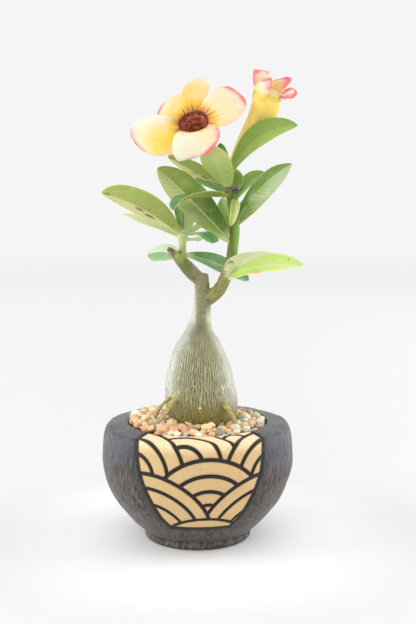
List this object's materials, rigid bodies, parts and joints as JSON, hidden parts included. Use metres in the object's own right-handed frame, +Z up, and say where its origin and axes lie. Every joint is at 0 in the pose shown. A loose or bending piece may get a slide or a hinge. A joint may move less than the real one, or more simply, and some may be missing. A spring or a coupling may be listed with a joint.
{
  "type": "potted desert rose adenium",
  "caption": "Potted desert rose: swollen ridged stem, spoon-shaped leaves and funnel-shaped flowers, in a round clay pot with a pebble mulch.",
  "frame": {"origin": "centre of the pot's foot, on the plane that it stands on", "axes": "+Z up along the pot's axis; -Y is the front, which the open flower faces; +X to the right seen from the front"},
  "size_m": [0.1112, 0.108, 0.2647],
  "materials": {
    "clay": "matte",
    "soil": "matte",
    "pebbles": "matte",
    "bark": "matte",
    "leaf": "satin",
    "petals": "satin",
    "calyx": "satin"
  },
  "bodies": {
    "root": {"pot": "clay", "soil": "soil", "gravel": "pebbles", "swollen_stem": "bark", "leaf_left_1": "leaf", "leaf_left_2": "leaf", "leaf_left_3": "leaf", "leaf_left_4": "leaf", "leaf_left_5": "leaf", "leaf_left_6": "leaf", "leaf_left_7": "leaf", "leaf_left_8": "leaf", "leaf_right_1": "leaf", "leaf_right_2": "leaf", "leaf_right_3": "leaf", "leaf_right_4": "leaf", "leaf_right_5": "leaf", "leaf_right_6": "leaf", "leaf_right_7": "leaf", "leaf_right_8": "leaf", "leaf_right_9": "leaf", "leaf_right_10": "leaf", "leaf_right_11": "leaf", "leaf_right_12": "leaf", "leaf_right_13": "leaf", "leaf_right_14": "leaf", "leaf_back_1": "leaf", "leaf_back_2": "leaf", "corolla_open": "petals", "corolla_half_open": "petals", "calyx_open": "calyx", "calyx_half_open": "calyx"}
  },
  "joints": []
}
